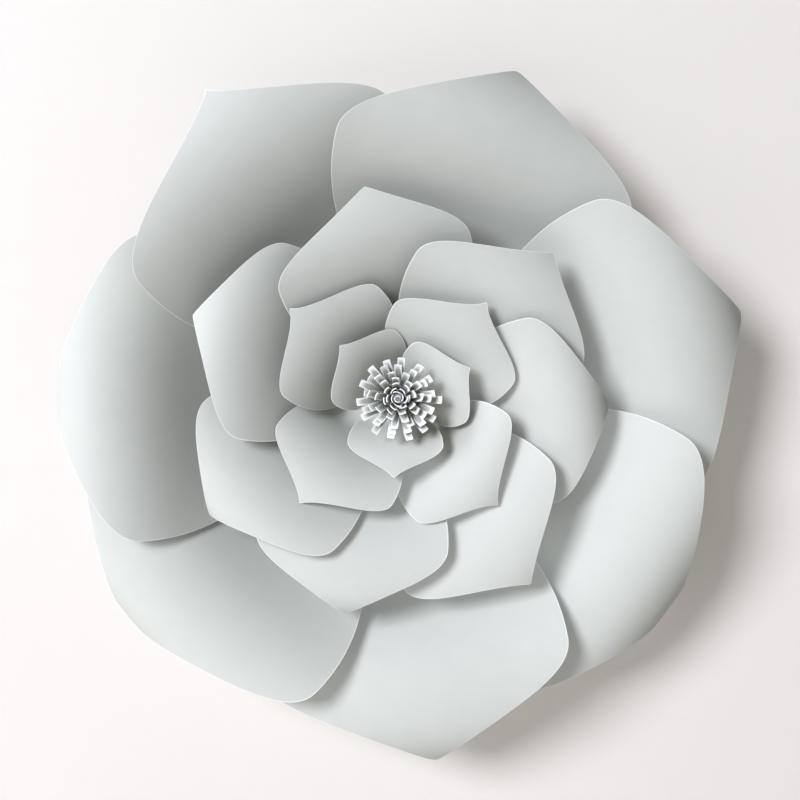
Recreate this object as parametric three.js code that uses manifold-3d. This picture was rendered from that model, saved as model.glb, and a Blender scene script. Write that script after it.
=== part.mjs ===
// A giant paper flower, 400 mm across, that hangs flat on a wall.
//
// Four rings of card petals are glued one on another over a round backing disc, and a rolled
// and fringed strip of card fills the middle. Every petal is one cut sheet: a slit at its foot
// is closed over itself, which cups the sheet, and its outer end is curled back round a rod.
//
// Flower axes while building: X to the right, Y up the wall, Z out of the wall, millimetres.
// The last lines turn that to Z up, with the wall on the plane Y = 0 and the flower facing -Y.

import * as THREE from "three";
import { mergeVertices } from "three/addons/utils/BufferGeometryUtils.js";
import Module from "manifold-3d";

const CARD = 0.5; // thickness of the petal card
const DISC_RADIUS = 56;
const DISC_THICKNESS = 1;
const DISC_SIDES = 64;
const DISC_COLOUR = 0xd7ddd8;
const FRINGE_COLOUR = 0xe4e6df;
const TIP_RADIUS = 0.5; // half the width left at a petal's cut point
const TIP_POWER = 8; // keeps a petal's own curl in its last third
const CROWN = 0.54; // how far the bend across a petal turns round from its foot to its tip
const TIP_CROWDING = 1.5; // draws the modelled rows together near the tip
const FLAT = 1e-7; // keeps the bend across a petal from being nought, as its arc needs a radius
const SUBSTEPS = 40; // steps of the centre line's sum between two rows

// One entry for each ring, from the wall outwards. All petals of a ring are cut from one
// template and set by hand, so each has its own direction, skew, curl and reach:
//   direction  degrees anticlockwise from X to the petal's outermost point
//   skew       degrees from that direction to the petal's own centre line
//   curl       degrees that its tip is curled back beyond the ring's bow, or short of it
//   reach      distance of the outermost point from the flower's middle
//   breadth    width as a share of the template's, where it was cut wider or narrower
//   uneven     share by which its anticlockwise half is the wider one
const RINGS = [
  {
    name: "outer_petal",
    colour: 0xd7ddd8,
    length: 220,
    halfWidth: 91.5,
    widestAt: 0.63, // share of the length where the template is widest
    ogee: 1.1, // 0 gives a round end with a blunt point, 1 a drawn-out one
    footWidth: 0.27, // width of the foot as a share of the greatest width
    lift: 81, // degrees that the sheet turns up out of its flat foot
    risenAt: 0.6, // share of the length over which it turns up
    bow: 125, // degrees that it is bowed back between its foot and its tip
    cupRadius: 160, // bend across the sheet at the foot
    roll: 8.5, // the anticlockwise edge is tipped up by this angle
    footHeight: 3.8, // foot of the centre line above the wall
    steps: [14, 6], // cells of the modelled sheet, along and across
    petals: [
      { direction: 122, skew: 5.5, curl: 26, reach: 214, breadth: 0.99, uneven: 0.08 },
      { direction: 70, skew: 4, curl: 46, reach: 205, breadth: 0.98, uneven: 0.01 },
      { direction: 14, skew: 4.5, curl: 46, reach: 208.5, breadth: 0.98, uneven: -0.02 },
      { direction: -38, skew: 2.5, curl: 116, reach: 201.5, breadth: 0.99, uneven: -0.05 },
      { direction: -84, skew: 1.5, curl: 48, reach: 214.5, breadth: 1, uneven: -0.08 },
      { direction: -141, skew: 2.5, curl: 100, reach: 204, breadth: 1.06, uneven: 0.07 },
      { direction: 179.5, skew: 1, curl: 122, reach: 200.5, breadth: 0.98, uneven: -0.06 },
    ],
  },
  {
    name: "second_petal",
    colour: 0xd3dad4,
    length: 134,
    halfWidth: 56.5,
    widestAt: 0.66,
    ogee: 0.45,
    footWidth: 0.28,
    lift: 65,
    risenAt: 0.3,
    bow: 78,
    cupRadius: 95,
    roll: 7.5,
    footHeight: 18,
    steps: [12, 6],
    petals: [
      { direction: 99, skew: 9, curl: 30, reach: 122, breadth: 1.01, uneven: 0.13 },
      { direction: 43, skew: 11.5, curl: 10, reach: 120.5, breadth: 1.02, uneven: 0.1 },
      { direction: -2, skew: 11, curl: 62, reach: 121, breadth: 0.95, uneven: 0.05 },
      { direction: -54.5, skew: 7.5, curl: 10, reach: 129.5, breadth: 0.99, uneven: 0 },
      { direction: -104, skew: 8.5, curl: 46, reach: 127, breadth: 0.98, uneven: 0 },
      { direction: -148, skew: 9, curl: 54, reach: 127, breadth: 1, uneven: 0.08 },
      { direction: 158, skew: 9, curl: 42, reach: 126.5, breadth: 1.02, uneven: 0.09 },
    ],
  },
  {
    name: "third_petal",
    colour: 0xd0d7d1,
    length: 83,
    halfWidth: 40.5,
    widestAt: 0.64,
    ogee: 0.7,
    footWidth: 0.29,
    lift: 67,
    risenAt: 0.3,
    bow: 88,
    cupRadius: 65,
    roll: 4.5,
    footHeight: 41.5,
    steps: [10, 6],
    petals: [
      { direction: 140.5, skew: -0.5, curl: -22, reach: 79, breadth: 1.01, uneven: -0.02 },
      { direction: 47, skew: 9.5, curl: -16, reach: 73.5, breadth: 1, uneven: 0.06 },
      { direction: -47, skew: 6.5, curl: 2, reach: 83, breadth: 0.98, uneven: 0.07 },
      { direction: -133, skew: 7.5, curl: 10, reach: 81.5, breadth: 0.98, uneven: 0.08 },
    ],
  },
  {
    name: "inner_petal",
    colour: 0xcdd4ce,
    length: 47,
    halfWidth: 27,
    widestAt: 0.58,
    ogee: 0.55,
    footWidth: 0.4,
    lift: 60,
    risenAt: 0.3,
    bow: 56,
    cupRadius: 38,
    roll: 4,
    footHeight: 56.5,
    steps: [8, 6],
    petals: [
      { direction: 138, skew: 1.5, curl: -2, reach: 44, breadth: 1, uneven: 0 },
      { direction: 22.5, skew: 10, curl: 8, reach: 44, breadth: 0.99, uneven: 0.08 },
      { direction: -93, skew: 0.5, curl: 2, reach: 45, breadth: 1, uneven: 0 },
    ],
  },
];

// The slit at a petal's foot: one flap is glued over the other on the back.
const SLIT_SHARE = 0.3; // slit length as a share of the petal's length
const SLIT_SPREAD = 0.34; // half the lapped wedge as a share of the half width

// The fringed roll in the middle: a strip of card, cut into a comb and rolled up tightly.
const ROLL = {
  bottom: 62.6, // above the wall
  footHeight: 8, // uncut edge that holds the comb together
  innerRadius: 1.2,
  pitch: 1.25, // card plus the air between two turns
  stripWidth: 4.6,
  slit: 0.3,
  strips: 68,
  stripLength: 19,
  innerLean: 3, // degrees that a strip leans for each millimetre its turn is from the first
  bentRadius: 4.6, // turns outside this radius lean further
  leanPerMillimetre: 12, // by this many degrees for each millimetre
  sides: 40, // of the solid foot
  stations: 3, // modelled steps up a strip
};

const radians = THREE.MathUtils.degToRad;

// Half the template's width at a share u of its length.
function halfWidthAt(ring, u) {
  const { halfWidth, widestAt, ogee, footWidth } = ring;
  if (u < widestAt) {
    const swell = Math.sin((Math.PI / 2) * (u / widestAt));
    return halfWidth * (footWidth + (1 - footWidth) * swell) + TIP_RADIUS;
  }
  const x = (u - widestAt) / (1 - widestAt);
  const round = Math.cos((Math.PI / 2) * x);
  const drawn = (1 + Math.cos(Math.PI * x)) / 2;
  return halfWidth * ((1 - ogee) * round + ogee * drawn) + TIP_RADIUS;
}

// Slope of the centre line at a share u of the length, in radians above the wall plane.
function slopeAt(ring, curl, u) {
  const turnedUp = ring.lift * Math.sin((Math.PI / 2) * Math.min(u / ring.risenAt, 1)) ** 2;
  return radians(turnedUp - ring.bow * u ** 2 - curl * u ** TIP_POWER);
}

// The centre line as [distance out, height] at each of the wanted shares of the length.
function centreLine(ring, curl, shares) {
  const line = [[0, 0]];
  for (let i = 1; i < shares.length; i++) {
    const step = (shares[i] - shares[i - 1]) / SUBSTEPS;
    let [out, height] = line[i - 1];
    for (let k = 0; k < SUBSTEPS; k++) {
      const slope = slopeAt(ring, curl, shares[i - 1] + (k + 0.5) * step);
      out += Math.cos(slope) * step * ring.length;
      height += Math.sin(slope) * step * ring.length;
    }
    line.push([out, height]);
  }
  return line;
}

// A grid of points on the middle of a petal's sheet: foot at the origin, centre line along X.
function petalGrid(ring, { curl, breadth, uneven }) {
  const [rows, columns] = ring.steps;
  const shares = Array.from({ length: rows + 1 }, (_, i) => 1 - (1 - i / rows) ** TIP_CROWDING);
  const line = centreLine(ring, curl, shares);
  const tip = radians(ring.roll);
  return shares.map((u, i) => {
    const [out, height] = line[i];
    const slope = slopeAt(ring, curl, u);
    const bend = (1 - u - CROWN * u ** 2) / ring.cupRadius + FLAT;
    return Array.from({ length: columns + 1 }, (_, j) => {
      const v = (2 * j) / columns - 1;
      const across = v * breadth * (1 + uneven * v) * halfWidthAt(ring, u);
      const angle = across * bend;
      const side = Math.sin(angle) / bend;
      const rise = (1 - Math.cos(angle)) / bend;
      const point = new THREE.Vector3(
        out - rise * Math.sin(slope),
        side * Math.cos(tip),
        height + rise * Math.cos(slope) + side * Math.sin(tip),
      );
      const lapped = u < SLIT_SHARE && Math.abs(v) <= SLIT_SPREAD;
      return { point, backing: lapped ? CARD * (1 - u / SLIT_SHARE) : 0 };
    });
  });
}

// Gives a grid of points the thickness of the card and closes it round its edge.
function sheetSolid(grid, thickness) {
  const rows = grid.length;
  const columns = grid[0].length;
  const at = (i, j) =>
    grid[THREE.MathUtils.clamp(i, 0, rows - 1)][THREE.MathUtils.clamp(j, 0, columns - 1)].point;
  const positions = [];
  for (const face of [1, -1]) {
    for (let i = 0; i < rows; i++) {
      for (let j = 0; j < columns; j++) {
        const alongStep = at(i + 1, j).clone().sub(at(i - 1, j));
        const acrossStep = at(i, j + 1).clone().sub(at(i, j - 1));
        const normal = alongStep.cross(acrossStep).normalize();
        const backing = face < 0 ? grid[i][j].backing : 0;
        const offset = face * (thickness / 2 + backing);
        positions.push(...at(i, j).clone().addScaledVector(normal, offset).toArray());
      }
    }
  }
  return closedSheet(positions, rows, columns);
}

// Joins a front grid and a back grid of points, stored one after the other, into one closed body.
function closedSheet(positions, rows, columns) {
  const back = rows * columns;
  const index = [];
  const quad = (a, b, c, d) => index.push(a, b, c, a, c, d);
  for (let i = 0; i + 1 < rows; i++) {
    for (let j = 0; j + 1 < columns; j++) {
      const a = i * columns + j;
      const b = a + columns;
      quad(a, b, b + 1, a + 1);
      quad(back + a, back + a + 1, back + b + 1, back + b);
    }
  }
  const rim = [];
  for (let i = 0; i + 1 < rows; i++) rim.push(i * columns);
  for (let j = 0; j + 1 < columns; j++) rim.push((rows - 1) * columns + j);
  for (let i = rows - 1; i > 0; i--) rim.push(i * columns + columns - 1);
  for (let j = columns - 1; j > 0; j--) rim.push(j);
  rim.forEach((a, k) => {
    const b = rim[(k + 1) % rim.length];
    quad(a, back + a, back + b, b);
  });
  const geometry = new THREE.BufferGeometry();
  geometry.setAttribute("position", new THREE.Float32BufferAttribute(positions, 3));
  geometry.setIndex(index);
  return geometry;
}

function cardMaterial(colour) {
  return new THREE.MeshStandardMaterial({ color: colour, roughness: 0.85, metalness: 0 });
}

// One petal, slid along its own line until its outermost point stands at its reach.
function makePetal(ring, petal, number) {
  const grid = petalGrid(ring, petal);
  const middle = ring.steps[1] / 2;
  const planLength = Math.max(...grid.map((row) => row[middle].point.x));
  const mesh = new THREE.Mesh(sheetSolid(grid, CARD), cardMaterial(ring.colour));
  mesh.name = `${ring.name}_${number}`;
  const outward = radians(petal.direction);
  const axis = radians(petal.direction + petal.skew);
  mesh.rotation.z = axis;
  mesh.position.set(
    petal.reach * Math.cos(outward) - planLength * Math.cos(axis),
    petal.reach * Math.sin(outward) - planLength * Math.sin(axis),
    ring.footHeight,
  );
  return mesh;
}

function makeBackingDisc() {
  const geometry = new THREE.CylinderGeometry(DISC_RADIUS, DISC_RADIUS, DISC_THICKNESS, DISC_SIDES);
  const mesh = new THREE.Mesh(geometry, cardMaterial(DISC_COLOUR));
  mesh.name = "backing_disc";
  mesh.rotation.x = Math.PI / 2;
  mesh.position.z = DISC_THICKNESS / 2;
  return mesh;
}

// Angle and radius on the roll's spiral at a length of strip from its inner end.
function spiralAt(length) {
  const { innerRadius, pitch } = ROLL;
  const radius = Math.sqrt(innerRadius ** 2 + (pitch * length) / Math.PI);
  return { angle: ((radius - innerRadius) * 2 * Math.PI) / pitch, radius };
}

// One tooth of the comb: its curved root follows the spiral, and it leans out from its turn.
function rollStrip(k) {
  const { stripWidth, slit, stripLength, stations, footHeight } = ROLL;
  const middle = spiralAt((k + 0.5) * stripWidth);
  const innerLean = ROLL.innerLean * (middle.radius - ROLL.innerRadius);
  const outerLean = ROLL.leanPerMillimetre * (middle.radius - ROLL.bentRadius);
  const lean = radians(Math.max(innerLean, outerLean));
  const outward = new THREE.Vector3(Math.cos(middle.angle), Math.sin(middle.angle), 0);
  const up = new THREE.Vector3(0, 0, 1);
  const root = [slit / 2, stripWidth / 2, stripWidth - slit / 2].map((across) => {
    const { angle, radius } = spiralAt(k * stripWidth + across);
    return new THREE.Vector3(radius * Math.cos(angle), radius * Math.sin(angle), footHeight - 1);
  });
  const path = [{ offset: new THREE.Vector3(), slope: 0 }];
  for (let s = 1; s <= stations; s++) {
    const slope = lean * Math.sin(((Math.PI / 2) * (s - 0.5)) / stations);
    const step = outward.clone().multiplyScalar(Math.sin(slope)).addScaledVector(up, Math.cos(slope));
    const offset = path[s - 1].offset.clone().addScaledVector(step, stripLength / stations);
    path.push({ offset, slope: lean * Math.sin(((Math.PI / 2) * s) / stations) });
  }
  const positions = [];
  for (const face of [-1, 1]) {
    for (const { offset, slope } of path) {
      const normal = outward.clone().multiplyScalar(Math.cos(slope)).addScaledVector(up, -Math.sin(slope));
      for (const point of root) {
        const placed = point.clone().add(offset).addScaledVector(normal, (face * CARD) / 2);
        positions.push(...placed.toArray());
      }
    }
  }
  return closedSheet(positions, path.length, root.length);
}

// A three.js geometry as a manifold-3d solid.
function toSolid(wasm, geometry) {
  const bare = new THREE.BufferGeometry();
  bare.setAttribute("position", geometry.getAttribute("position"));
  bare.setIndex(geometry.getIndex());
  const merged = mergeVertices(bare, 1e-4);
  const mesh = new wasm.Mesh({
    numProp: 3,
    vertProperties: merged.getAttribute("position").array,
    triVerts: new Uint32Array(merged.getIndex().array),
  });
  return new wasm.Manifold(mesh);
}

function fromSolid(solid) {
  const { vertProperties, triVerts } = solid.getMesh();
  const geometry = new THREE.BufferGeometry();
  geometry.setAttribute("position", new THREE.BufferAttribute(vertProperties, 3));
  geometry.setIndex(new THREE.BufferAttribute(triVerts, 1));
  return geometry;
}

// The whole roll: its glued turns are one solid foot, and the comb's strips stand on it.
function makeFringedRoll(wasm) {
  const outer = spiralAt(ROLL.strips * ROLL.stripWidth).radius + CARD / 2;
  const profile = [
    new THREE.Vector2(0, 0),
    new THREE.Vector2(outer, 0),
    new THREE.Vector2(outer, ROLL.footHeight),
    new THREE.Vector2(0, ROLL.footHeight),
  ];
  const foot = new THREE.LatheGeometry(profile, ROLL.sides);
  foot.rotateX(Math.PI / 2);
  let solid = toSolid(wasm, foot);
  for (let k = 0; k < ROLL.strips; k++) solid = solid.add(toSolid(wasm, rollStrip(k)));
  const mesh = new THREE.Mesh(fromSolid(solid), cardMaterial(FRINGE_COLOUR));
  mesh.name = "fringed_roll";
  mesh.position.z = ROLL.bottom;
  return mesh;
}

const wasm = await Module();
wasm.setup();

const flower = new THREE.Group();
flower.add(makeBackingDisc());
for (const ring of RINGS) {
  ring.petals.forEach((petal, i) => flower.add(makePetal(ring, petal, i + 1)));
}
flower.add(makeFringedRoll(wasm));
flower.rotation.x = Math.PI / 2;

const part = new THREE.Group();
part.add(flower);
export default part;
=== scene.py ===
"""A giant paper flower on a wall: rings of cupped card petals round a rolled and fringed centre.

Every piece is card, so every piece is one kind of surface: a grid of points on the middle of a
sheet, given the card's thickness and closed round its cut edge. The petals and the comb of the
fringe follow the same formulas as the CAD model, with a far finer grid, two flaps at the lapped
slit of each foot, and the small unevenness of work cut and curled by hand.

Flower axes while building: X to the right, Y up the wall, Z out of the wall, in millimetres.
"""

import math

import bpy
import numpy as np
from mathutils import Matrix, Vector


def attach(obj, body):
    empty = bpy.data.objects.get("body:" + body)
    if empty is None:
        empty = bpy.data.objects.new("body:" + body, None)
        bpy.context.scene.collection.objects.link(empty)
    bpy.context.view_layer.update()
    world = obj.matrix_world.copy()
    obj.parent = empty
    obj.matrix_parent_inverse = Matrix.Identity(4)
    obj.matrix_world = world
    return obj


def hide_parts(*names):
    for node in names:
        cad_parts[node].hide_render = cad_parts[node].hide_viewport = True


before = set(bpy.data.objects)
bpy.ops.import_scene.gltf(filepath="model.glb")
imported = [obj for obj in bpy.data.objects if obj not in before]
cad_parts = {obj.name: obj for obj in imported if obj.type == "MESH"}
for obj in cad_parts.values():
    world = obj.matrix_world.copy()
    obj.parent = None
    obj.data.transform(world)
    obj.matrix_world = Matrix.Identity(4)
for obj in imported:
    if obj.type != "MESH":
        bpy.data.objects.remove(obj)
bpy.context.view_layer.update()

MM = 0.001
SEED = 40

CARD = 0.5  # thickness of the petal card
DISC_RADIUS = 56
DISC_THICKNESS = 1
DISC_CELLS = (24, 192)  # of its grid, out from the middle and round
TIP_RADIUS = 0.5  # half the width left at a petal's cut point
SHARP_ANGLE = 40  # degrees between two faces, past which their edge is drawn sharp
CARD_SHIFT = 500  # how far off, at most, each petal was cut from the middle of the card's pattern

# The petals of a ring are cut from one template and set by hand, so each has its own
#   direction  degrees anticlockwise from X to its outermost point
#   skew       degrees from that direction to its own centre line
#   curl       degrees that its tip is curled back beyond the ring's bow, or short of it
#   reach      distance of its outermost point from the flower's middle
#   breadth    width as a share of the template's
#   uneven     share by which its anticlockwise half is the wider one
RINGS = [
    dict(
        name="outer_petal",
        length=220,
        half_width=91.5,
        widest_at=0.63,  # share of the length where the template is widest
        ogee=1.1,  # 0 gives a round end with a blunt point, 1 a drawn-out one
        foot_width=0.27,  # width of the foot as a share of the greatest width
        lift=81,  # degrees that the sheet turns up out of its flat foot
        risen_at=0.6,  # share of the length over which it turns up
        bow=125,  # degrees that it is bowed back between its foot and its tip
        cup_radius=160,  # radius of the bend across the sheet at the foot
        roll=8.5,  # the anticlockwise edge is tipped up by this angle
        foot_height=3.8,  # foot of the centre line above the wall
        cells=(110, 84),  # along and across the sheet
        petals=[
            (122, 5.5, 26, 214, 0.99, 0.08),
            (70, 4, 46, 205, 0.98, 0.01),
            (14, 4.5, 46, 208.5, 0.98, -0.02),
            (-38, 2.5, 116, 201.5, 0.99, -0.05),
            (-84, 1.5, 48, 214.5, 1, -0.08),
            (-141, 2.5, 100, 204, 1.06, 0.07),
            (179.5, 1, 122, 200.5, 0.98, -0.06),
        ],
    ),
    dict(
        name="second_petal",
        length=134,
        half_width=56.5,
        widest_at=0.66,
        ogee=0.45,
        foot_width=0.28,
        lift=65,
        risen_at=0.3,
        bow=78,
        cup_radius=95,
        roll=7.5,
        foot_height=18,
        cells=(84, 64),
        petals=[
            (99, 9, 30, 122, 1.01, 0.13),
            (43, 11.5, 10, 120.5, 1.02, 0.1),
            (-2, 11, 62, 121, 0.95, 0.05),
            (-54.5, 7.5, 10, 129.5, 0.99, 0),
            (-104, 8.5, 46, 127, 0.98, 0),
            (-148, 9, 54, 127, 1, 0.08),
            (158, 9, 42, 126.5, 1.02, 0.09),
        ],
    ),
    dict(
        name="third_petal",
        length=83,
        half_width=40.5,
        widest_at=0.64,
        ogee=0.7,
        foot_width=0.29,
        lift=67,
        risen_at=0.3,
        bow=88,
        cup_radius=65,
        roll=4.5,
        foot_height=41.5,
        cells=(72, 56),
        petals=[
            (140.5, -0.5, -22, 79, 1.01, -0.02),
            (47, 9.5, -16, 73.5, 1, 0.06),
            (-47, 6.5, 2, 83, 0.98, 0.07),
            (-133, 7.5, 10, 81.5, 0.98, 0.08),
        ],
    ),
    dict(
        name="inner_petal",
        length=47,
        half_width=27,
        widest_at=0.58,
        ogee=0.55,
        foot_width=0.4,
        lift=60,
        risen_at=0.3,
        bow=56,
        cup_radius=38,
        roll=4,
        foot_height=56.5,
        cells=(60, 48),
        petals=[
            (138, 1.5, -2, 44, 1, 0),
            (22.5, 10, 8, 44, 0.99, 0.08),
            (-93, 0.5, 2, 45, 1, 0),
        ],
    ),
]

TIP_POWER = 8  # keeps a petal's own curl in its last third
CROWN = 0.54  # the bend across a petal is reversed at its tip, to this share of its foot's bend
LEAST_BEND = 1e-7  # keeps the arc's formula from dividing by nothing
CENTRE_STEPS = 4000  # of the running sum along a centre line
TIP_CROWDING = 1.5  # draws the grid's rows together near the tip

# The slit at a petal's foot: one flap is glued over the other, so the sheet is double there.
SLIT_SHARE = 0.3  # slit length as a share of the petal's length
SLIT_END = 0.02  # share of the length, past the slit, over which the flaps come together
LAP_SHARE = 0.3  # half the lap's width at the foot as a share of the half width
LAP_LEAST = 0.06  # share of that width that the lap's columns of the grid never go below
LAP_BAND = 0.18  # share of the grid's columns that lie in the lap
LAP_EASE = 7.0  # millimetres over which a flap bends up to lie on the other
HAIR = 1e-6  # tells a point on the lap's edge from one beyond it

# Petals set by hand are a little out of true: a few long waves in plan, which grow to the rim.
WAVES = 5
WAVE_LENGTHS = (90, 170)
WAVE_HEIGHT = 0.45  # of each one at the rim
RIM_RADIUS = 200

# The fringed roll: a strip of card, cut into a comb and rolled up tightly. A tooth of the comb
# leans inner_lean degrees for each millimetre that its turn is from the first, or outer_lean
# degrees for each millimetre that it is outside bent_radius, whichever is more.
ROLL = dict(
    bottom=62.6,
    foot_height=8.0,
    inner_radius=1.2,
    pitch=1.25,  # card plus the air between two turns
    strip_width=4.6,
    slit=0.3,
    strips=68,
    strip_length=19.0,
    inner_lean=3.0,
    outer_lean=12.0,
    bent_radius=4.6,
    foot_cells=3,  # of the grid, up the uncut foot
    tooth_cells=12,  # up a tooth
    tooth_points=4,  # across a tooth
)

# How far a tooth may be off, either way.
OFF = dict(
    lean=4,  # degrees
    swerve=0.1,  # radians round the roll
    twist=0.3,  # millimetres out at its end for each one across
    length=0.8,
    slant=0.12,  # millimetres that it is longer for each one across
)

# Cut edges are paler: wholly up to the first distance from the cut, and not at all from the second.
PALE_EDGE = (0.1, 0.55)
# The teeth's ends are drawn paler over their last millimetres as a painted highlight, where light
# catches them.
PAINTED_END_HIGHLIGHT = 0.17  # a distance from a tooth's end counts for this much of itself, so paleness reaches in

# The setting, in metres.
LIGHT_DISTANCE = 4
WALL_GAP = 0.0008  # between the flower's back and the wall
FLOOR_DEPTH = 0.8  # below the flower's middle
ROOM_REACH = 3


# ---------------------------------------------------------------- sheets of card


def sheet_normals(points):
    """Unit normals of a grid: the cross product of its steps along and across."""
    along = np.gradient(points, axis=0)
    across = np.gradient(points, axis=1)
    normals = np.cross(along, across)
    return normals / np.linalg.norm(normals, axis=2, keepdims=True)


def closed_sheet(front, back, cells):
    """Vertices and quads of a closed sheet between two grids of points, and for each vertex the
    number of its grid point.

    cells says which cells of the grid hold card. Each gives a quad on the front and one on the
    back, and wherever a card cell meets an empty one or the grid's end, a quad joins the two.
    """
    rows, columns = front.shape[:2]
    shift = rows * columns
    number = np.arange(shift).reshape(rows, columns)
    a, b = number[:-1, :-1], number[1:, :-1]
    c, d = number[1:, 1:], number[:-1, 1:]
    quads = [
        np.stack([a, b, c, d], -1)[cells],
        np.stack([a, d, c, b], -1)[cells] + shift,
    ]
    padded = np.pad(cells, 1)
    sides = [
        (~padded[1:-1, :-2], a, b),
        (~padded[2:, 1:-1], b, c),
        (~padded[1:-1, 2:], c, d),
        (~padded[:-2, 1:-1], d, a),
    ]
    for open_side, start, end in sides:
        here = cells & open_side
        s, e = start[here], end[here]
        quads.append(np.stack([s, s + shift, e + shift, e], -1))
    points = np.concatenate([front.reshape(-1, 3), back.reshape(-1, 3)])
    faces = np.concatenate(quads)
    used = np.unique(faces)
    renumber = np.zeros(len(points), int)
    renumber[used] = np.arange(len(used))
    return points[used], renumber[faces], used % shift


def make_piece(name, sheet, layout, edge, material):
    """A closed sheet as a Blender mesh, standing for the CAD node of the same name.

    layout is each grid point's place on the flat card, kept as the UV map in metres, and edge
    its distance from the nearest cut edge, where the card is drawn paler; on the fringe's teeth it is
    also a shrunk distance from the end, which gives the ends a painted highlight.
    """
    points, faces, source = sheet
    x, y, z = points.T
    mesh = bpy.data.meshes.new(name)
    mesh.from_pydata((np.stack([x, -z, y], -1) * MM).tolist(), [], faces.tolist())
    flat = layout.reshape(-1, 2)[source] * MM
    corners = np.zeros(len(mesh.loops), np.int32)
    mesh.loops.foreach_get("vertex_index", corners)
    mesh.uv_layers.new(name="flat_card").data.foreach_set("uv", flat[corners].ravel())
    pale_distance = mesh.attributes.new("pale_distance", "FLOAT", "POINT")
    pale_distance.data.foreach_set("value", (edge * MM).ravel()[source].astype(np.float32))
    mesh.shade_smooth()
    mesh.set_sharp_from_angle(angle=math.radians(SHARP_ANGLE))
    mesh.materials.append(material)
    piece = bpy.data.objects.new(f"{name}_card", mesh)
    bpy.context.scene.collection.objects.link(piece)
    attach(piece, "root")
    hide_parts(name)
    return piece


# ---------------------------------------------------------------- petals


def half_width_at(ring, u):
    """Half the template's width at shares u of its length.

    It swells from the foot as a quarter sine, and falls to the point as a mix of a quarter
    cosine, which is round, and a whole cosine wave's fall, which is drawn out.
    """
    swell = np.sin(np.pi / 2 * np.clip(u / ring["widest_at"], 0, 1))
    x = np.clip((u - ring["widest_at"]) / (1 - ring["widest_at"]), 0, 1)
    ogee = ring["ogee"]
    fall = (1 - ogee) * np.cos(np.pi / 2 * x) + ogee * (1 + np.cos(np.pi * x)) / 2
    foot = ring["foot_width"]
    share = np.where(u < ring["widest_at"], foot + (1 - foot) * swell, fall)
    return ring["half_width"] * share + TIP_RADIUS


def slope_at(ring, curl, u):
    """Slope of the centre line: the foot lies flat and turns up as a squared sine, the sheet
    bows back with the square of the length, and the tip curls with a high power of it."""
    turned_up = ring["lift"] * np.sin(np.pi / 2 * np.minimum(u / ring["risen_at"], 1)) ** 2
    return np.radians(turned_up - ring["bow"] * u ** 2 - curl * u ** TIP_POWER)


def centre_line(ring, curl, shares):
    """Distance out and height of the centre line: the running sum of its slope's steps."""
    fine = np.linspace(0, 1, CENTRE_STEPS + 1)
    slope = slope_at(ring, curl, (fine[1:] + fine[:-1]) / 2)
    step = ring["length"] / CENTRE_STEPS
    out = np.concatenate([[0], np.cumsum(np.cos(slope))]) * step
    height = np.concatenate([[0], np.cumsum(np.sin(slope))]) * step
    return np.interp(shares, fine, out), np.interp(shares, fine, height)


def lap_offsets(side, lap, closing):
    """How far the front and the back of the sheet stand off its middle at the lapped slit.

    The left flap rises by half the card and lies over the right flap, which sinks by as much.
    side is the distance across from the slit, lap half the lap's width there, and closing
    fades it out at the slit's end.
    """
    def ease(distance):
        """One falling to nothing over the ease, by the smooth step 3x squared less 2x cubed."""
        x = np.clip(distance / LAP_EASE, 0, 1)
        return 1 - x * x * (3 - 2 * x)

    half = CARD / 2
    on_left = side <= -lap - HAIR
    on_right = side > lap + HAIR
    left_flap = ease(np.where(on_left, -lap - side, 0)) * half * closing
    right_flap = ease(np.where(on_right, side - lap, 0)) * half * closing
    front = np.where(on_right, -right_flap, left_flap) + half
    back = np.where(on_left, left_flap, -right_flap) - half
    return front, back


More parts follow.
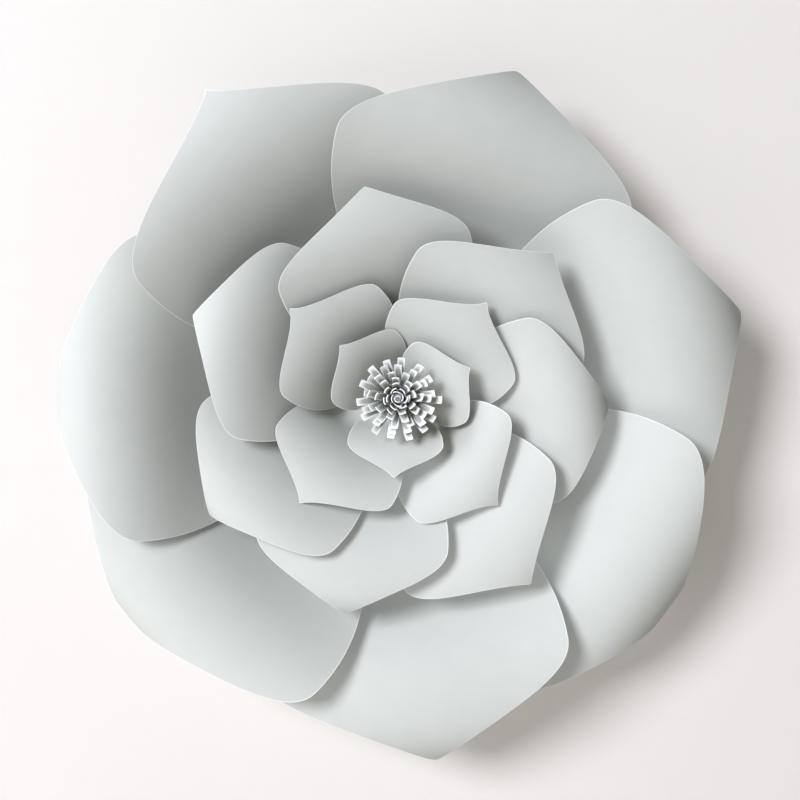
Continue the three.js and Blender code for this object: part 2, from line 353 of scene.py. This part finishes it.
def make_petal(ring, petal, number, material, hand):
    """One petal: its sheet is bent along its centre line by the slope's formula and across it
    into an arc whose bend fades and then reverses towards the tip. It is then slid along its own
    line until its outermost point stands at its reach. Columns of the grid follow the lapped
    slit's edges.
    """
    direction, skew, curl, reach, breadth, uneven = petal
    along, across = ring["cells"]
    u = 1 - (1 - np.linspace(0, 1, along + 1)) ** TIP_CROWDING
    out, height = centre_line(ring, curl, u)
    width = half_width_at(ring, u)

    lap = LAP_SHARE * width * np.clip(1 - u / SLIT_SHARE, LAP_LEAST, 1)
    closing = np.clip((SLIT_SHARE - u) / SLIT_END + 1, 0, 1)
    v = np.linspace(-1, 1, across + 1)[None, :]
    inside = v / LAP_BAND * lap[:, None]
    beyond = (np.abs(v) - LAP_BAND) / (1 - LAP_BAND)
    outside = np.sign(v) * (lap[:, None] + beyond * (width - lap)[:, None])
    side = np.where(np.abs(v) <= LAP_BAND, inside, outside)

    slope = slope_at(ring, curl, u)[:, None]
    from_cut = width[:, None] - np.abs(side)
    side = side * breadth * (1 + uneven * side / width[:, None])
    bend = ((1 - u - CROWN * u ** 2) / ring["cup_radius"] + LEAST_BEND)[:, None]
    across_arc = np.sin(side * bend) / bend
    rise = (1 - np.cos(side * bend)) / bend
    roll = math.radians(ring["roll"])
    x = out[:, None] - rise * np.sin(slope)
    y = across_arc * math.cos(roll)
    z = height[:, None] + rise * np.cos(slope) + across_arc * math.sin(roll)

    outward = math.radians(direction)
    axis = math.radians(direction + skew)
    start_x = reach * math.cos(outward) - out.max() * math.cos(axis)
    start_y = reach * math.sin(outward) - out.max() * math.sin(axis)
    middle = np.stack(
        [
            start_x + x * math.cos(axis) - y * math.sin(axis),
            start_y + x * math.sin(axis) + y * math.cos(axis),
            ring["foot_height"] + z,
        ],
        -1,
    )
    middle[..., 2] += unevenness(middle[..., 0], middle[..., 1])
    normals = sheet_normals(middle)
    front, back = lap_offsets(side, lap[:, None], closing[:, None])
    sheet = closed_sheet(
        middle + normals * front[..., None],
        middle + normals * back[..., None],
        np.ones((along, across), bool),
    )

    down = u[:, None] * ring["length"] + 0 * side
    edge = np.minimum(from_cut, np.minimum(ring["length"] - down, down))
    layout = np.stack([side, down], -1) + hand.uniform(-CARD_SHIFT, CARD_SHIFT, 2)
    return make_piece(f"{ring['name']}_{number}", sheet, layout, edge, material)


def unevenness(x, y):
    """Height that the petals are out of true by: a sum of sine waves in plan, which grows in
    proportion to the radius. Petals that lie on each other share it, so they stay apart."""
    waves = np.random.default_rng(SEED)
    total = np.zeros_like(x)
    for _ in range(WAVES):
        heading, phase = waves.uniform(0, 2 * np.pi, 2)
        length = waves.uniform(*WAVE_LENGTHS)
        total += np.sin(2 * np.pi / length * (x * np.cos(heading) + y * np.sin(heading)) + phase)
    return WAVE_HEIGHT * total * np.clip(np.hypot(x, y) / RIM_RADIUS, 0, 1)


# ---------------------------------------------------------------- the disc and the fringe


def make_backing_disc(material):
    """The round card disc: rings of points from the middle out, as a closed sheet."""
    turn = np.linspace(0, 2 * np.pi, DISC_CELLS[1] + 1)
    radius = DISC_RADIUS * np.linspace(0, 1, DISC_CELLS[0] + 1)
    r, a = np.meshgrid(radius, turn, indexing="ij")
    layout = np.stack([r * np.cos(a), r * np.sin(a)], -1)
    middle = np.concatenate([layout, np.full_like(r, DISC_THICKNESS / 2)[..., None]], -1)
    normal = np.array([0, 0, DISC_THICKNESS / 2])
    sheet = closed_sheet(middle + normal, middle - normal, np.ones(DISC_CELLS, bool))
    edge = DISC_RADIUS - r
    return make_piece("backing_disc", sheet, layout, edge, material)


def spiral_at(length):
    """Angle and radius on the roll at lengths of strip from its inner end: the strip's length
    times its pitch fills the area between the radius and the inner radius."""
    radius = np.sqrt(ROLL["inner_radius"] ** 2 + ROLL["pitch"] * length / np.pi)
    return (radius - ROLL["inner_radius"]) * 2 * np.pi / ROLL["pitch"], radius


def make_fringed_roll(material, hand):
    """The rolled comb as one sheet: its grid runs along the strip of card and up it.

    Below the cuts a point lies on the spiral. Above them it follows its own tooth, which
    leans out along a quarter sine to its full lean, more for each turn further out.
    """
    teeth, per_tooth = ROLL["strips"], ROLL["tooth_points"]
    foot_rows, rows = ROLL["foot_cells"], ROLL["tooth_cells"]
    width, slit = ROLL["strip_width"], ROLL["slit"]
    tooth = np.repeat(np.arange(teeth), per_tooth)
    across = np.tile(np.linspace(slit / 2, width - slit / 2, per_tooth), teeth)
    angle, radius = spiral_at(tooth * width + across)
    middle_angle, middle_radius = (q[tooth] for q in spiral_at((np.arange(teeth) + 0.5) * width))

    def off(kind):
        """How far each tooth is off, for every point across it."""
        return hand.uniform(-OFF[kind], OFF[kind], teeth)[tooth]

    lean = np.maximum(
        ROLL["inner_lean"] * (middle_radius - ROLL["inner_radius"]),
        ROLL["outer_lean"] * (middle_radius - ROLL["bent_radius"]),
    )
    lean = np.radians(lean + off("lean"))
    heading = middle_angle + off("swerve")
    twist = off("twist")
    length = ROLL["strip_length"] + off("length")
    length = length + (across - width / 2) * off("slant")

    outward = np.stack([np.cos(heading), np.sin(heading), 0 * radius], -1)
    up = np.array([0.0, 0, 1])
    root = np.stack([radius * np.cos(angle), radius * np.sin(angle), 0 * radius], -1)

    foot = np.linspace(0, ROLL["foot_height"], foot_rows + 1)[:-1]
    foot_points = root[None] + foot[:, None, None] * up
    s = np.linspace(0, 1, rows + 1)
    slope = lean[None] * np.sin(np.pi / 2 * s)[:, None]
    centred = (slope[1:] + slope[:-1]) / 2
    step = length[None] / rows
    out = np.concatenate([0 * lean[None], np.cumsum(np.sin(centred) * step, 0)])
    rise = np.concatenate([0 * lean[None], np.cumsum(np.cos(centred) * step, 0)])
    offset = out[..., None] * outward + rise[..., None] * up
    turned = (twist * (across - width / 2))[None] * s[:, None] ** 2
    tooth_points = root[None] + ROLL["foot_height"] * up + offset + turned[..., None] * (
        outward * np.cos(slope)[..., None] - up * np.sin(slope)[..., None]
    )
    grid = np.concatenate([foot_points, tooth_points])
    grid[..., 2] += ROLL["bottom"]

    along = np.gradient(grid, axis=0)
    chord = np.repeat((root[per_tooth - 1 :: per_tooth] - root[::per_tooth]), per_tooth, 0)
    normals = np.cross(along, chord[None] + 0 * grid)
    normals /= np.linalg.norm(normals, axis=2, keepdims=True)
    cells = np.ones((len(grid) - 1, len(tooth) - 1), bool)
    cells[foot_rows:, per_tooth - 1 :: per_tooth] = False
    sheet = closed_sheet(grid + normals * CARD / 2, grid - normals * CARD / 2, cells)

    height = np.concatenate([foot, ROLL["foot_height"] + s * ROLL["strip_length"]])
    layout = np.stack(np.broadcast_arrays(tooth * width + across, height[:, None]), -1)
    from_side = 2 * (np.minimum(across, width - across) - slit / 2)
    from_end = ROLL["foot_height"] + ROLL["strip_length"] - height[:, None]
    # A tooth is paler over about its last three millimetres: a painted highlight where light catches
    # the ends.
    edge = np.minimum(from_side + 0 * height[:, None], from_end * PAINTED_END_HIGHLIGHT)
    return make_piece("fringed_roll", sheet, layout, edge, material)


# ---------------------------------------------------------------- materials


def linear(hex_colour):
    """An sRGB hex colour as linear red, green and blue with full alpha."""
    channels = [int(hex_colour[i : i + 2], 16) / 255 for i in (1, 3, 5)]
    return [c / 12.92 if c <= 0.04045 else ((c + 0.055) / 1.055) ** 2.4 for c in channels] + [1.0]


def add_node(tree, kind, settings=(), links=()):
    """Adds a node. Settings are its properties or its sockets' values, and links are
    (its socket, the output that feeds it)."""
    node = tree.nodes.new(kind)
    for key, value in dict(settings).items():
        if isinstance(key, str) and hasattr(node, key):
            setattr(node, key, value)
        else:
            node.inputs[key].default_value = value
    for socket, source in dict(links).items():
        tree.links.new(source, node.inputs[socket])
    return node


def card_stock(name, colour, pale_colour, roughness=0.75):
    """Matt uncoated card, dyed through and calendered.

    To the eye: a soft, even grey with no gloss, a faint cloudiness where the fibres lie
    thicker, a fine felt tooth, fibres along the sheet, and a paler line along every cut.
    """
    cloud_size, tooth_size = 14 * MM, 0.7 * MM
    fibre_width, fibre_length = 0.35 * MM, 4 * MM
    pale_from, pale_to = PALE_EDGE
    material = bpy.data.materials.new(name)
    material.use_nodes = True
    tree = material.node_tree
    tree.nodes.clear()
    card = add_node(tree, "ShaderNodeUVMap", {"uv_map": "flat_card"}).outputs["UV"]
    cloud = add_node(
        tree, "ShaderNodeTexNoise", {"Scale": 1 / cloud_size, "Detail": 5.0, "Roughness": 0.6},
        {"Vector": card},
    )
    tooth = add_node(
        tree, "ShaderNodeTexNoise", {"Scale": 1 / tooth_size, "Detail": 3.0, "Roughness": 0.6},
        {"Vector": card},
    )
    along = add_node(
        tree, "ShaderNodeMapping", {"Scale": (1 / fibre_width, 1 / fibre_length, 1)},
        {"Vector": card},
    )
    fibres = add_node(
        tree, "ShaderNodeTexNoise", {"Scale": 1.0, "Detail": 2.0}, {"Vector": along.outputs[0]}
    )
    pale = add_node(
        tree, "ShaderNodeMixRGB",
        {"blend_type": "MIX", "Color1": linear(colour[0]), "Color2": linear(colour[1])},
        {"Fac": cloud.outputs[0]},
    )
    edge = add_node(tree, "ShaderNodeAttribute", {"attribute_name": "pale_distance"})
    near = add_node(
        tree, "ShaderNodeMapRange",
        {"From Min": pale_from * MM, "From Max": pale_to * MM, "To Min": 1.0, "To Max": 0.0},
        {"Value": edge.outputs["Fac"]},
    )
    base = add_node(
        tree, "ShaderNodeMixRGB", {"blend_type": "MIX", "Color2": linear(pale_colour)},
        {"Fac": near.outputs[0], "Color1": pale.outputs[0]},
    )
    felt = add_node(
        tree, "ShaderNodeBump", {"Strength": 0.35, "Distance": 0.03 * MM},
        {"Height": tooth.outputs[0]},
    )
    grain = add_node(
        tree, "ShaderNodeBump", {"Strength": 0.3, "Distance": 0.04 * MM},
        {"Height": fibres.outputs[0], "Normal": felt.outputs[0]},
    )
    shader = add_node(
        tree, "ShaderNodeBsdfPrincipled",
        {"Roughness": roughness, "IOR": 1.47, "Specular IOR Level": 0.4},
        {"Base Color": base.outputs[0], "Normal": grain.outputs[0]},
    )
    add_node(tree, "ShaderNodeOutputMaterial", (), {"Surface": shader.outputs[0]})
    return material


def wall_paint(name, colour):
    """Matt emulsion, pale and plain, with a faint roller texture. It is clear from behind."""
    roller_size = 2.5 * MM
    material = bpy.data.materials.new(name)
    material.use_nodes = True
    tree = material.node_tree
    tree.nodes.clear()
    place = add_node(tree, "ShaderNodeTexCoord").outputs["Object"]
    roller = add_node(
        tree, "ShaderNodeTexNoise", {"Scale": 1 / roller_size, "Detail": 3.0}, {"Vector": place}
    )
    relief = add_node(
        tree, "ShaderNodeBump", {"Strength": 0.15, "Distance": 0.1 * MM},
        {"Height": roller.outputs[0]},
    )
    paint = add_node(
        tree, "ShaderNodeBsdfPrincipled",
        {"Base Color": linear(colour), "Roughness": 0.9, "Specular IOR Level": 0.2},
        {"Normal": relief.outputs[0]},
    )
    side = add_node(tree, "ShaderNodeNewGeometry").outputs["Backfacing"]
    clear = add_node(tree, "ShaderNodeBsdfTransparent")
    mixed = add_node(
        tree, "ShaderNodeMixShader", (), {0: side, 1: paint.outputs[0], 2: clear.outputs[0]}
    )
    add_node(tree, "ShaderNodeOutputMaterial", (), {"Surface": mixed.outputs[0]})
    return material


# ---------------------------------------------------------------- camera, light and setting


def make_camera():
    """A camera straight in front of the wall, close to level with the flower's middle."""
    camera = bpy.data.objects.new("camera", bpy.data.cameras.new("camera"))
    camera.data.lens = 60
    camera.data.sensor_width = 36
    camera.location = (0.0012, -0.834, -0.0012)
    camera.rotation_euler = (math.pi / 2, 0, 0)
    bpy.context.scene.collection.objects.link(camera)
    bpy.context.scene.camera = camera


def make_light(name, plan, off, size, power, colour, casters=()):
    """A round light at the lights' distance from the flower and facing it. plan is its direction round
    the flower as seen from the front, anticlockwise from the right, and off its angle from
    straight in front, both in degrees. If casters are given, only they cast its shadows."""
    plan, off = math.radians(plan), math.radians(off)
    aside = math.sin(off)
    toward = Vector((math.cos(plan) * aside, -math.cos(off), math.sin(plan) * aside))
    light = bpy.data.lights.new(name, "AREA")
    light.shape = "DISK"
    light.size = size
    light.energy = power
    light.color = linear(colour)[:3]
    lamp = bpy.data.objects.new(name, light)
    lamp.location = toward * LIGHT_DISTANCE
    lamp.rotation_euler = (-toward).to_track_quat("-Z", "Y").to_euler()
    bpy.context.scene.collection.objects.link(lamp)
    if casters:
        group = bpy.data.collections.new(f"{name}_casters")
        for piece in casters:
            group.objects.link(piece)
        lamp.light_linking.blocker_collection = group


def make_plane(name, corners, material):
    """A flat rectangle of the setting, from its four corners, anticlockwise from its front."""
    mesh = bpy.data.meshes.new(name)
    mesh.from_pydata(corners, [], [(0, 1, 2, 3)])
    mesh.materials.append(material)
    plane = bpy.data.objects.new(name, mesh)
    bpy.context.scene.collection.objects.link(plane)
    return plane


def make_room(colour, strength, backdrop):
    """The faint warm light of the room. The view sees a pale backdrop in its place."""
    world = bpy.data.worlds.new("room")
    world.use_nodes = True
    tree = world.node_tree
    tree.nodes.clear()
    seen = add_node(tree, "ShaderNodeLightPath").outputs["Is Camera Ray"]
    light = add_node(tree, "ShaderNodeBackground", {"Color": linear(colour), "Strength": strength})
    plain = add_node(tree, "ShaderNodeBackground", {"Color": linear(backdrop)})
    both = add_node(
        tree, "ShaderNodeMixShader", (), {0: seen, 1: light.outputs[0], 2: plain.outputs[0]}
    )
    add_node(tree, "ShaderNodeOutputWorld", (), {"Surface": both.outputs[0]})
    return world


make_camera()
hand = np.random.default_rng(SEED)
petal_card = card_stock("matt_card_stock", ("#a5a79b", "#abada1"), "#cdcfc4")
# The fringe's card is darker than the petals' as painted shade among its crowded teeth; its pale
# colour, laid over the teeth's ends, is a painted highlight.
painted_fringe_card = card_stock("fringe_stock_with_painted_light_and_shade", ("#92958a", "#9c9f94"), "#dee0d7")
backing_card = card_stock("thick_backing_card", ("#cdd3ce", "#d8ddd8"), "#e6e9e4", roughness=0.85)

make_backing_disc(backing_card)
for ring in RINGS:
    for number, petal in enumerate(ring["petals"], 1):
        make_petal(ring, petal, number, petal_card, hand)
fringe = make_fringed_roll(painted_fringe_card, hand)

wall = make_plane(
    "wall",
    [
        (-ROOM_REACH, WALL_GAP, -FLOOR_DEPTH),
        (ROOM_REACH, WALL_GAP, -FLOOR_DEPTH),
        (ROOM_REACH, WALL_GAP, ROOM_REACH),
        (-ROOM_REACH, WALL_GAP, ROOM_REACH),
    ],
    wall_paint("pale_wall_paint", "#c4bfb3"),
)
wall.visible_shadow = False  # so that the light from behind reaches the flower's back
make_plane(
    "floor",
    [
        (-ROOM_REACH, -ROOM_REACH, -FLOOR_DEPTH),
        (ROOM_REACH, -ROOM_REACH, -FLOOR_DEPTH),
        (ROOM_REACH, ROOM_REACH, -FLOOR_DEPTH),
        (-ROOM_REACH, ROOM_REACH, -FLOOR_DEPTH),
    ],
    wall_paint("pale_floor_paint", "#dcd8d2"),
)

# A broad cool window up on the left. Its second half is set more to the side, to model the
# petals, and is let cast the fringe's shadow only, so that it lays no wide bands of shade. The
# fill lights the back.
make_light("window", 153, 36, 1.6, 242, "#e8ecff")
make_light("window_spread", 153, 64, 1.6, 114, "#e8ecff", casters=[fringe])
make_light("back_fill", 20, 145, 2.0, 75, "#f6f2ec")
world = make_room("#fff0d8", 0.08, "#dedbd6")
bpy.context.scene.world = world
bpy.context.scene.view_settings.view_transform = "Standard"
